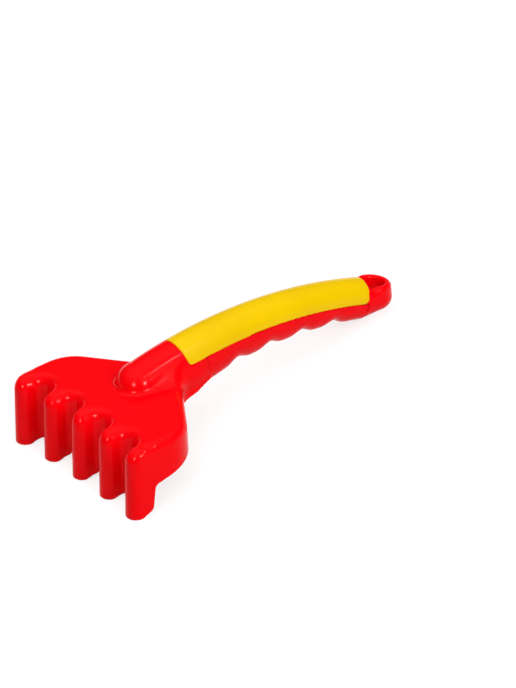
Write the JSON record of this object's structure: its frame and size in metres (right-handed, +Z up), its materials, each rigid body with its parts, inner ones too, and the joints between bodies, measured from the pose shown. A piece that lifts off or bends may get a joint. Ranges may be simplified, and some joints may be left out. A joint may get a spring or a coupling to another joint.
{
  "type": "sand rake",
  "caption": "Child's sand rake: a moulded head with hollow tines, and an arched grip with a top cover, a grooved finger grip and a hanging loop.",
  "frame": {"origin": "middle of the length and the width, on the ground that the tine tips and the heel of the hanging loop stand on", "axes": "+X from the tines towards the hanging loop, +Y across the row of tines, +Z up"},
  "size_m": [0.2324, 0.1228, 0.0505],
  "materials": {
    "red_plastic": "glossy injection-moulded polypropylene, red",
    "yellow_plastic": "satin-gloss injection-moulded polypropylene, yellow"
  },
  "bodies": {
    "root": {"rake_body": "red_plastic", "grip_cover": "yellow_plastic", "finger_grip": "red_plastic"}
  },
  "joints": []
}
